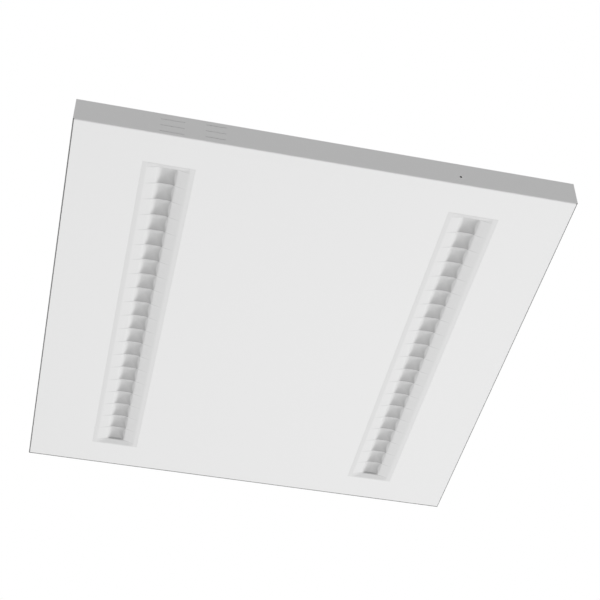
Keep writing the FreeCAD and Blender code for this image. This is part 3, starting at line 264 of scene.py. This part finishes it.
class TrofferLouvre(bpy.types.PropertyGroup):
    """Shape of the louvre strips."""

    cells: bpy.props.IntProperty(
        name="Dishes", description="Dishes in one strip", default=20, min=2)
    pitch: bpy.props.FloatProperty(
        name="Pitch", description="Between the middles of two dishes",
        default=24.65 * MM, unit="LENGTH")
    slot_length: bpy.props.FloatProperty(
        name="Slot length", description="Length of the tray's slot that a strip fills",
        default=506 * MM, unit="LENGTH")
    mouth: bpy.props.FloatProperty(
        name="Mouth", description="Width of the dished part", default=24.6 * MM, unit="LENGTH")
    mouth_height: bpy.props.FloatProperty(
        name="Mouth height", description="Rise of the sloping flanks up to the dishes",
        default=3.3 * MM, unit="LENGTH")
    dish_depth: bpy.props.FloatProperty(
        name="Dish depth", description="Depth of a dish", default=6.4 * MM, unit="LENGTH")
    dish_reach: bpy.props.FloatProperty(
        name="Dish reach", description="Half length at which a dish would be full depth",
        default=14.2 * MM, unit="LENGTH")
    squareness: bpy.props.FloatProperty(
        name="Squareness", description="2 is a round dish, and more is squarer", default=2.6,
        min=1)
    scoop_depth: bpy.props.FloatProperty(
        name="Scoop depth", description="Hollow of the flank beside each dish",
        default=0.5 * MM, unit="LENGTH")
    scoop_reach: bpy.props.FloatProperty(
        name="Scoop reach", description="How far the hollow reaches over the flank",
        default=12 * MM, unit="LENGTH")
    rim_land: bpy.props.FloatProperty(
        name="Rim land", description="Flat edge along each side", default=5 * MM,
        unit="LENGTH")
    end_land: bpy.props.FloatProperty(
        name="End land", description="Flat edge at each end", default=0.8 * MM, unit="LENGTH")
    # Painted shade: how far the rim, the ends past the last dish and the creases beside each ridge
    # turn towards the dishes' grey
    rim_shade: bpy.props.FloatProperty(
        name="Rim shade", description="How far the rim's colour goes towards the dishes'",
        default=0.04, min=0, max=1)
    end_shade: bpy.props.FloatProperty(
        name="End shade", description="The same, past the last dish at each end",
        default=0.15, min=0, max=1)
    crease_shade: bpy.props.FloatProperty(
        name="Crease shade", description="The same, on the fine creases beside each ridge",
        default=0.42, min=0, max=1)
    set_back: bpy.props.FloatProperty(
        name="Set back", description="Rim behind the visible face", default=0.08 * MM,
        unit="LENGTH")
    end_slope: bpy.props.FloatProperty(
        name="End slope", description="Length of the slope at each end", default=5.5 * MM,
        unit="LENGTH")
    wall: bpy.props.FloatProperty(
        name="Wall", description="Thickness of the moulding", default=1.6 * MM, unit="LENGTH")
    ledge: bpy.props.FloatProperty(
        name="Ledge", description="Ledge past the rim, on the tray's upturned edge",
        default=3.3 * MM, unit="LENGTH")
    rim_gap: bpy.props.FloatProperty(
        name="Rim gap", description="Gap in the slot that the rim's soft lip closes",
        default=0.4 * MM, unit="LENGTH")
    lip_reach: bpy.props.FloatProperty(
        name="Lip reach", description="How far the soft lip reaches over the rolled edge",
        default=0.9 * MM, unit="LENGTH")
    lip_play: bpy.props.FloatProperty(
        name="Lip play", description="Between the soft lip and the rolled edge",
        default=0.1 * MM, unit="LENGTH")
    roll: bpy.props.FloatProperty(
        name="Roll", description="Radius of the slot's rolled edge", default=1.6 * MM,
        unit="LENGTH")
    ledge_base: bpy.props.FloatProperty(
        name="Ledge height", description="Underside of the ledge", default=4 * MM,
        unit="LENGTH")
    ledge_thickness: bpy.props.FloatProperty(
        name="Ledge thickness", description="Thickness of the ledge", default=1.2 * MM,
        unit="LENGTH")


class TrofferStudio(bpy.types.PropertyGroup):
    """Camera, lamps and floor."""

    lens: bpy.props.FloatProperty(
        name="Lens", description="Focal length on a 36 mm sensor, in millimetres",
        default=85.2, min=10)
    floor_drop: bpy.props.FloatProperty(
        name="Floor", description="How far the floor lies below the visible face",
        default=5.6, min=1.4, unit="LENGTH")
    floor_radius: bpy.props.FloatProperty(
        name="Floor radius", description="Radius of the round floor",
        default=12.0, min=1, unit="LENGTH")
    room_light: bpy.props.FloatProperty(
        name="Room light", description="Strength of the even light from all round",
        default=0.52, min=0)
    lower_power: bpy.props.FloatProperty(
        name="Lower lamp", description="Lamp that lights the visible face", default=51.0,
        min=0, unit="POWER")
    lamp_spread: bpy.props.FloatProperty(
        name="Lamp spread", description="Full angle of each lamp's beam",
        default=math.radians(100), min=math.radians(10), max=math.pi, subtype="ANGLE")
    upper_power: bpy.props.FloatProperty(
        name="Upper lamp", description="Lamp that lights the back", default=7.0, min=0,
        unit="POWER")


# ------------------------------------------------------------------ finishes


class TROFFER_OT_painted_steel(bpy.types.Operator):
    """Powder coat on the tray, the back cover and the driver's case, with painted shade on the
    face's folds
    """

    bl_idname = "troffer.painted_steel"
    bl_label = "Painted steel"

    def execute(self, context):
        finishes = context.scene.troffer_finishes
        colour = finishes.steel
        coat = Finish("powder_coat", colour, 0.45)
        coat.vary_roughness(12 * MM, 0.40, 0.50).relief(1.1 * MM, 0.012 * MM, 1.0)
        self.paint_fold_shade(coat, finishes)
        dress(coat, "housing_tray", "back_cover")
        case = Finish("driver_case_lacquer", [CASE_SHADE * channel for channel in colour], 0.4)
        case.relief(1.5 * MM, 0.01 * MM)
        dress(case, "driver_cover")
        return {"FINISHED"}

    def paint_fold_shade(self, coat, finishes):
        """Painted shade: a grey line on the left, right and far folds of the visible face, where
        the bends turn away from the light.
        It reaches further in along the far one, whose round part is hidden from below."""
        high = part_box("housing_tray")[1]
        across, along, height = coat.axes()
        outside = maths("MAXIMUM", maths("ABSOLUTE", across) - high.x, along - high.y + FAR_SHADE_REACH)
        # Painted shade, full on the fold itself and fading in over the face and up the walls
        edge = step(outside, -finishes.fold_shade_width, -FOLD_SHADE_SOLID * finishes.fold_shade_width)
        coat.tint(edge * step(height, *FOLD_SHADE_HEIGHTS), finishes.fold_shade)


class TROFFER_OT_louvres(bpy.types.Operator):
    """Louvre strips with smooth dishes, in place of the two plain mouldings, and their windows"""

    bl_idname = "troffer.louvres"
    bl_label = "Louvres"

    def execute(self, context):
        sizes = context.scene.troffer_louvre
        colour = context.scene.troffer_finishes.louvre
        moulding = Finish("satin_moulding", colour, 0.34, ior=1.49)
        moulding.vary_roughness(20 * MM, 0.30, 0.40)
        self.paint_dish_tone_and_shade(moulding, sizes, context.scene.troffer_finishes.dish)
        for name in ("left", "right"):
            node = f"louvre_insert_{name}"
            low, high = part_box(node)
            strip = self.strip(context, f"louvre_strip_{name}", sizes, low, high)
            strip.data.materials.append(moulding.material)
            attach(strip, "fitting")
            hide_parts(node)
        dress(Finish("opal_window", (0.82, 0.82, 0.81), 0.25),
              "light_window_left", "light_window_right")
        return {"FINISHED"}

    def paint_dish_tone_and_shade(self, moulding, sizes, dish):
        """Each dish is grey, scalloped between the cross ridges: partly the satin moulding's own
        darker tone, partly painted shade.
        It is left lighter towards -X as a painted highlight, and its darkening towards +Y and the
        fine dark line along each ridge are painted shade. The rim gets a little painted shade.

        Both strips share the pattern, so places are measured from each strip's middle line."""
        low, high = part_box("louvre_insert_right")
        across, along, height = moulding.axes()
        aside = (maths("ABSOLUTE", across) - (low.x + high.x) / 2) * maths("SIGN", across)
        in_cell = maths("FRACT", along * (1 / sizes.pitch))
        to_ridge = maths("ABSOLUTE", in_cell * 2.0 - 1.0)
        reach = (to_ridge * to_ridge * FLARE + WAIST) * (sizes.mouth / 2)
        share = maths("DIVIDE", aside, reach)
        # Painted shade: a dark line beside each ridge
        line = step(to_ridge, *RIDGE_FADE)
        raised = step(height, sizes.mouth_height, sizes.mouth_height + HEIGHT_FADE)
        # The even part is partly the moulding's tone and partly painted shade; the part towards +Y
        # and the ridge line are painted shade
        depth = step(in_cell, *FAR_FADE) * FAR_PAINTED_SHADE + line * RIDGE_PAINTED_SHADE + EVEN_TONE_AND_SHADE
        # The softer fade on the -X side leaves a painted highlight there
        hollow = step(share, *LEFT_FADE) * step(share, *RIGHT_FADE) * raised * depth
        # Painted shade in the creases beside each ridge, out over the flanks
        crease_painted_shade = step(maths("ABSOLUTE", share), *CREASE_FADE) * line * sizes.crease_shade
        side = (high.x - low.x) / 2 - sizes.ledge - sizes.rim_land
        end = sizes.cells * sizes.pitch / 2
        # Painted shade on the rim along each side and past the last dish at each end
        rim = step(maths("ABSOLUTE", aside), side - RIM_FADE, side)
        end_painted_shade = step(maths("ABSOLUTE", along), end - RIM_FADE, end)
        end_painted_shade = end_painted_shade * (1.0 - rim) * sizes.end_shade
        edge = maths("MAXIMUM", rim * sizes.rim_shade, end_painted_shade)
        moulding.tint(maths("MAXIMUM", hollow, crease_painted_shade) + edge, dish)

    def strip(self, context, name, sizes, low, high):
        """A fine grid shaped by strip_height, thickened upwards, with a ledge on each side.

        Past the slot's edge the thickness is that of a soft lip under the rolled steel."""
        middle = (low.x + high.x) / 2
        half_length = sizes.slot_length / 2
        half_width = (high.x - low.x) / 2 - sizes.ledge
        across = stations((0, *ACROSS_LINES), sizes.mouth / 2, half_width - sizes.rim_land,
                          half_width, half_width + sizes.lip_reach)
        rows = sizes.cells * DISH_LINES // 2
        along = stations((0, rows, *(rows + lines for lines in END_LINES)),
                         sizes.cells * sizes.pitch / 2, half_length - sizes.end_land,
                         half_length, half_length + sizes.lip_reach)
        shape = bmesh.new()
        bmesh.ops.create_grid(shape, x_segments=2 * across[-1][1], y_segments=2 * along[-1][1],
                              size=1.0)
        for vertex in shape.verts:
            x = placed(vertex.co.x, across)
            y = placed(vertex.co.y, along)
            vertex.co = (middle + x, y, strip_height(sizes, x, y, half_width, half_length))
        bmesh.ops.recalc_face_normals(shape, faces=shape.faces)
        skin = shape.faces[:] + shape.edges[:] + shape.verts[:]
        raised = bmesh.ops.extrude_face_region(shape, geom=skin, use_keep_orig=True)
        lifted = [item for item in raised["geom"] if isinstance(item, bmesh.types.BMVert)]
        for vertex in lifted:
            past = max(abs(vertex.co.x - middle) - half_width, abs(vertex.co.y) - half_length)
            if past > -TOUCH:
                inner = sizes.roll - past - sizes.lip_play
                vertex.co.z = sizes.roll - math.sqrt(sizes.roll ** 2 - inner ** 2)
            else:
                vertex.co.z += sizes.wall
        for face in shape.faces:
            face.smooth = True
        top = sizes.ledge_base + sizes.ledge_thickness
        riser = half_width - sizes.rim_gap - sizes.ledge_thickness
        for near, far, base in ((riser, half_width - sizes.rim_gap, sizes.wall / 2),
                                (riser, half_width + sizes.ledge, sizes.ledge_base)):
            for side in (-1, 1):
                centre = (middle + side * (near + far) / 2, 0, (base + top) / 2)
                size = (far - near, 2 * (half_length - sizes.rim_gap), top - base)
                ledge = Matrix.LocRotScale(centre, None, size)
                bmesh.ops.create_cube(shape, size=1.0, matrix=ledge)
        bmesh.ops.recalc_face_normals(shape, faces=shape.faces)
        mesh = bpy.data.meshes.new(name)
        shape.to_mesh(mesh)
        shape.free()
        mesh.set_sharp_from_angle(angle=SHARP_ANGLE)
        strip = bpy.data.objects.new(name, mesh)
        context.scene.collection.objects.link(strip)
        return strip


def stations(lines, *places):
    """Each place, from the middle outwards, with the number of the grid line that stands there."""
    return tuple(zip((0.0, *places), lines))


def placed(share, stops):
    """Where a grid line at a share of the half size stands, by its stations."""
    line = abs(share) * stops[-1][1]
    for (near, first), (far, last) in zip(stops, stops[1:]):
        if line <= last + TOUCH:
            return math.copysign(near + (far - near) * (line - first) / (last - first), share)
    raise ValueError("the grid reaches past its last station")


def arc_drop(away, reach, depth):
    """How far an arc that is depth deep over reach has dropped at a distance from its top."""
    radius = (reach ** 2 + depth ** 2) / (2 * depth)
    return radius - math.sqrt(radius ** 2 - min(abs(away), ARC_LIMIT * radius) ** 2)


def strip_height(sizes, x, y, half_width, half_length):
    """Underside of a louvre strip: flat rim, sloping flanks, scoops and dishes."""
    mouth = sizes.mouth / 2
    flank = half_width - sizes.rim_land
    inwards = min(max((flank - abs(x)) / (flank - mouth), 0.0), 1.0)
    end = min(max((half_length - sizes.end_land - abs(y)) / sizes.end_slope, 0.0), 1.0)
    base = sizes.set_back + sizes.mouth_height * min(inwards, end)
    if abs(y) >= sizes.cells * sizes.pitch / 2 - TOUCH:
        return base
    in_cell = (y / sizes.pitch) % 1.0 - 0.5
    fade = max(1 - (abs(x) - mouth) / sizes.scoop_reach, 0.0) if abs(x) > mouth else 1.0
    from_ridge = 1 - (2 * in_cell) ** 2
    base += sizes.scoop_depth * fade ** 2 * from_ridge
    drop_x = arc_drop(x, mouth, sizes.dish_depth)
    drop_y = arc_drop(in_cell * sizes.pitch, sizes.dish_reach, sizes.dish_depth)
    drop = (drop_x ** sizes.squareness + drop_y ** sizes.squareness) ** (1 / sizes.squareness)
    return max(base, sizes.set_back + sizes.mouth_height + sizes.dish_depth - drop)


class TROFFER_OT_hardware(bpy.types.Operator):
    """Zinc plate, spring steel, aluminium and copper on the metal pieces"""

    bl_idname = "troffer.hardware"
    bl_label = "Metal pieces"

    def execute(self, context):
        zinc = Finish("bright_zinc", (0.62, 0.64, 0.66), 0.3, 1.0)
        zinc.vary_roughness(4 * MM, 0.22, 0.42).mottle(3 * MM, 0.6)
        dress(zinc, "end_hooks", "cover_screws", "driver_screws", "clip_screws", "driver_base",
              "lid_hinge_pin", "clamp_screws", "earth_stud", "earth_nut")
        spring = Finish("spring_steel", (0.50, 0.51, 0.53), 0.3, 1.0)
        spring.vary_roughness(2 * MM, 0.26, 0.40, along=(12, 1, 1))
        dress(spring, "hold_down_clip_1", "hold_down_clip_2", "hold_down_clip_3",
              "hold_down_clip_4", "clamp_springs")
        extrusion = Finish("mill_aluminium", (0.72, 0.73, 0.74), 0.4, 1.0)
        extrusion.vary_roughness(2 * MM, 0.32, 0.48, along=(1, 40, 1))
        dress(extrusion, "carrier_left", "carrier_right")
        copper = Finish("tinned_copper", (0.72, 0.52, 0.30), 0.3, 1.0)
        copper.mottle(2 * MM, 0.7)
        dress(copper, "contact_bars", "earth_tag")
        return {"FINISHED"}


class TROFFER_OT_electronics(bpy.types.Operator):
    """Circuit boards, diodes, driver parts and connectors inside the closed housing"""

    bl_idname = "troffer.electronics"
    bl_label = "Electronics"

    def execute(self, context):
        board = Finish("white_solder_mask", (0.74, 0.76, 0.75), 0.35)
        dress(board.relief(2 * MM, 0.02 * MM), "led_board_left", "led_board_right")
        green = Finish("green_solder_mask", (0.04, 0.20, 0.09), 0.35)
        dress(green.mottle(2 * MM, 0.8, 0.5), "driver_circuit_board")
        phosphor = Finish("diode_phosphor", (0.80, 0.64, 0.16), 0.2)
        dress(phosphor, "led_chips_left", "led_chips_right")
        nylon = Finish("white_nylon", (0.74, 0.74, 0.71), 0.45)
        dress(nylon.relief(0.8 * MM, 0.01 * MM), "board_connector_left", "board_connector_right",
              "lead_saddles")
        core = Finish("ferrite_and_tape", (0.09, 0.09, 0.10), 0.5)
        dress(core.mottle(4 * MM, 0.8, 0.5), "driver_transformer")
        dress(Finish("capacitor_sleeve", (0.03, 0.03, 0.04), 0.3), "driver_capacitors")
        grey = Finish("grey_polyamide", (0.40, 0.41, 0.42), 0.45)
        dress(grey.relief(0.8 * MM, 0.01 * MM), "terminal_block", "driver_output_terminal",
              "driver_input_terminal")
        return {"FINISHED"}


class TROFFER_OT_connection_box(bpy.types.Operator):
    """Textured moulding of the connection box, its buttons, grommet and clamp"""

    bl_idname = "troffer.connection_box"
    bl_label = "Connection box"

    def execute(self, context):
        finishes = context.scene.troffer_finishes
        moulding = Finish("textured_moulding", finishes.box, 0.5)
        moulding.relief(0.9 * MM, 0.03 * MM, 1.0).vary_roughness(10 * MM, 0.46, 0.58)
        dress(moulding, "connection_box", "box_lid")
        button = Finish("button_moulding", finishes.button, 0.35)
        dress(button, "release_button_1", "release_button_2", "release_button_3")
        rubber = Finish("black_rubber", (0.025, 0.025, 0.025), 0.7)
        dress(rubber.relief(0.6 * MM, 0.02 * MM), "cable_grommet", "lead_bushing")
        dress(Finish("black_moulding", (0.04, 0.04, 0.04), 0.45), "cable_clamp")
        return {"FINISHED"}


class TROFFER_OT_leads(bpy.types.Operator):
    """Sheaths of the flat leads"""

    bl_idname = "troffer.leads"
    bl_label = "Leads"

    def execute(self, context):
        sheath = Finish("white_sheath", (0.70, 0.70, 0.67), 0.45)
        dress(sheath.mottle(10 * MM, 0.3), "supply_lead", "output_lead_left", "output_lead_right")
        dress(Finish("earth_sheath", (0.35, 0.48, 0.06), 0.45), "earth_lead")
        return {"FINISHED"}


# ------------------------------------------------------------------ stage


def aim(thing, place, target):
    """Puts a lamp in its place and points it at the target."""
    thing.location = place
    thing.rotation_mode = "QUATERNION"
    thing.rotation_quaternion = (Vector(target) - Vector(place)).to_track_quat("-Z", "Y")


class TROFFER_OT_stage(bpy.types.Operator):
    """Camera at the photograph's angle, floor, lamps and a white surround"""

    bl_idname = "troffer.stage"
    bl_label = "Studio"

    def execute(self, context):
        studio = context.scene.troffer_studio
        self.camera(context, studio)
        self.lamp(context, "lower_lamp", studio.lower_power, **LOWER_LAMP)
        self.lamp(context, "upper_lamp", studio.upper_power, **UPPER_LAMP)
        self.floor(context, studio)
        self.surround(context, studio)
        context.scene.view_settings.view_transform = "Standard"
        return {"FINISHED"}

    def camera(self, context, studio):
        """Below the near left corner, looking up along the strips."""
        camera = bpy.data.objects.new("camera", bpy.data.cameras.new("camera"))
        context.scene.collection.objects.link(camera)
        camera.data.lens = studio.lens
        camera.data.sensor_width = SENSOR_WIDTH
        right = CAMERA_RIGHT.normalized()
        forward = CAMERA_FORWARD.normalized()
        up = right.cross(forward)
        turn = Matrix((right, up, -forward)).transposed()
        camera.matrix_world = Matrix.Translation(CAMERA_PLACE) @ turn.to_4x4()
        context.scene.camera = camera

    def lamp(self, context, name, power, place, target, size):
        """A soft round lamp that is neither seen nor mirrored."""
        lamp = bpy.data.objects.new(name, bpy.data.lights.new(name, "AREA"))
        context.scene.collection.objects.link(lamp)
        lamp.data.shape = "DISK"
        lamp.data.size = size
        lamp.data.spread = context.scene.troffer_studio.lamp_spread
        lamp.data.energy = power
        lamp.visible_camera = False
        lamp.visible_glossy = False
        aim(lamp, place, target)

    def floor(self, context, studio):
        """A pale round floor that fades into the white surround at its rim."""
        bpy.ops.mesh.primitive_circle_add(vertices=FLOOR_SIDES, radius=studio.floor_radius,
                                          fill_type="NGON", location=(0, 0, -studio.floor_drop))
        floor = context.object
        floor.name = "studio_floor"
        material = bpy.data.materials.new("pale_floor")
        material.use_nodes = True
        tree = material.node_tree
        tree.nodes.clear()
        place = add_node(tree, "ShaderNodeTexCoord", output="Object")
        away = add_node(tree, "ShaderNodeVectorMath", {"operation": "LENGTH"}, {0: place},
                        output="Value")
        faded = step(away, *(share * studio.floor_radius for share in FLOOR_FADE))
        seen = add_node(tree, "ShaderNodeLightPath", output="Is Camera Ray")
        pale = add_node(tree, "ShaderNodeBsdfDiffuse", {}, {"Color": (0.9, 0.9, 0.9, 1)})
        white = add_node(tree, "ShaderNodeEmission", {}, {"Strength": 1.0})
        mixed = add_node(tree, "ShaderNodeMixShader", {}, {0: faded * seen, 1: pale, 2: white})
        join_surface(tree, "ShaderNodeOutputMaterial", mixed)
        floor.data.materials.append(material)

    def surround(self, context, studio):
        """White wherever it is seen or mirrored, and plain room light otherwise."""
        world = bpy.data.worlds.new("surround")
        world.use_nodes = True
        tree = world.node_tree
        tree.nodes.clear()
        straight = add_node(tree, "ShaderNodeLightPath", output="Is Camera Ray")
        rays = straight.socket.node.outputs
        glossy = Value(tree, rays["Is Glossy Ray"])
        through = Value(tree, rays["Is Transmission Ray"])
        seen = maths("MAXIMUM", straight, maths("MAXIMUM", glossy, through))
        strength = seen * (1.0 - studio.room_light) + studio.room_light
        shade = add_node(tree, "ShaderNodeBackground", {}, {"Strength": strength,
                                                            "Color": (1, 1, 1, 1)})
        join_surface(tree, "ShaderNodeOutputWorld", shade)
        context.scene.world = world


# ------------------------------------------------------------------ panel and run


class TROFFER_PT_panel(bpy.types.Panel):
    """Lists the operators and the properties in the sidebar"""

    bl_label = "Troffer"
    bl_space_type = "VIEW_3D"
    bl_region_type = "UI"
    bl_category = "Troffer"

    def draw(self, context):
        for operator in OPERATORS:
            self.layout.operator(operator.bl_idname)
        scene = context.scene
        for group in (scene.troffer_finishes, scene.troffer_louvre, scene.troffer_studio):
            for name in group.__annotations__:
                self.layout.prop(group, name)


OPERATORS = (
    TROFFER_OT_painted_steel,
    TROFFER_OT_louvres,
    TROFFER_OT_hardware,
    TROFFER_OT_electronics,
    TROFFER_OT_connection_box,
    TROFFER_OT_leads,
    TROFFER_OT_stage,
)
CLASSES = (TrofferFinishes, TrofferLouvre, TrofferStudio, *OPERATORS, TROFFER_PT_panel)


def register():
    for made in CLASSES:
        bpy.utils.register_class(made)
    bpy.types.Scene.troffer_finishes = bpy.props.PointerProperty(type=TrofferFinishes)
    bpy.types.Scene.troffer_louvre = bpy.props.PointerProperty(type=TrofferLouvre)
    bpy.types.Scene.troffer_studio = bpy.props.PointerProperty(type=TrofferStudio)


def unregister():
    del bpy.types.Scene.troffer_studio
    del bpy.types.Scene.troffer_louvre
    del bpy.types.Scene.troffer_finishes
    for made in reversed(CLASSES):
        bpy.utils.unregister_class(made)


def main():
    register()
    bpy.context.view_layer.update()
    bpy.ops.troffer.painted_steel()
    bpy.ops.troffer.louvres()
    bpy.ops.troffer.hardware()
    bpy.ops.troffer.electronics()
    bpy.ops.troffer.connection_box()
    bpy.ops.troffer.leads()
    bpy.ops.troffer.stage()


if __name__ == "__main__":
    main()
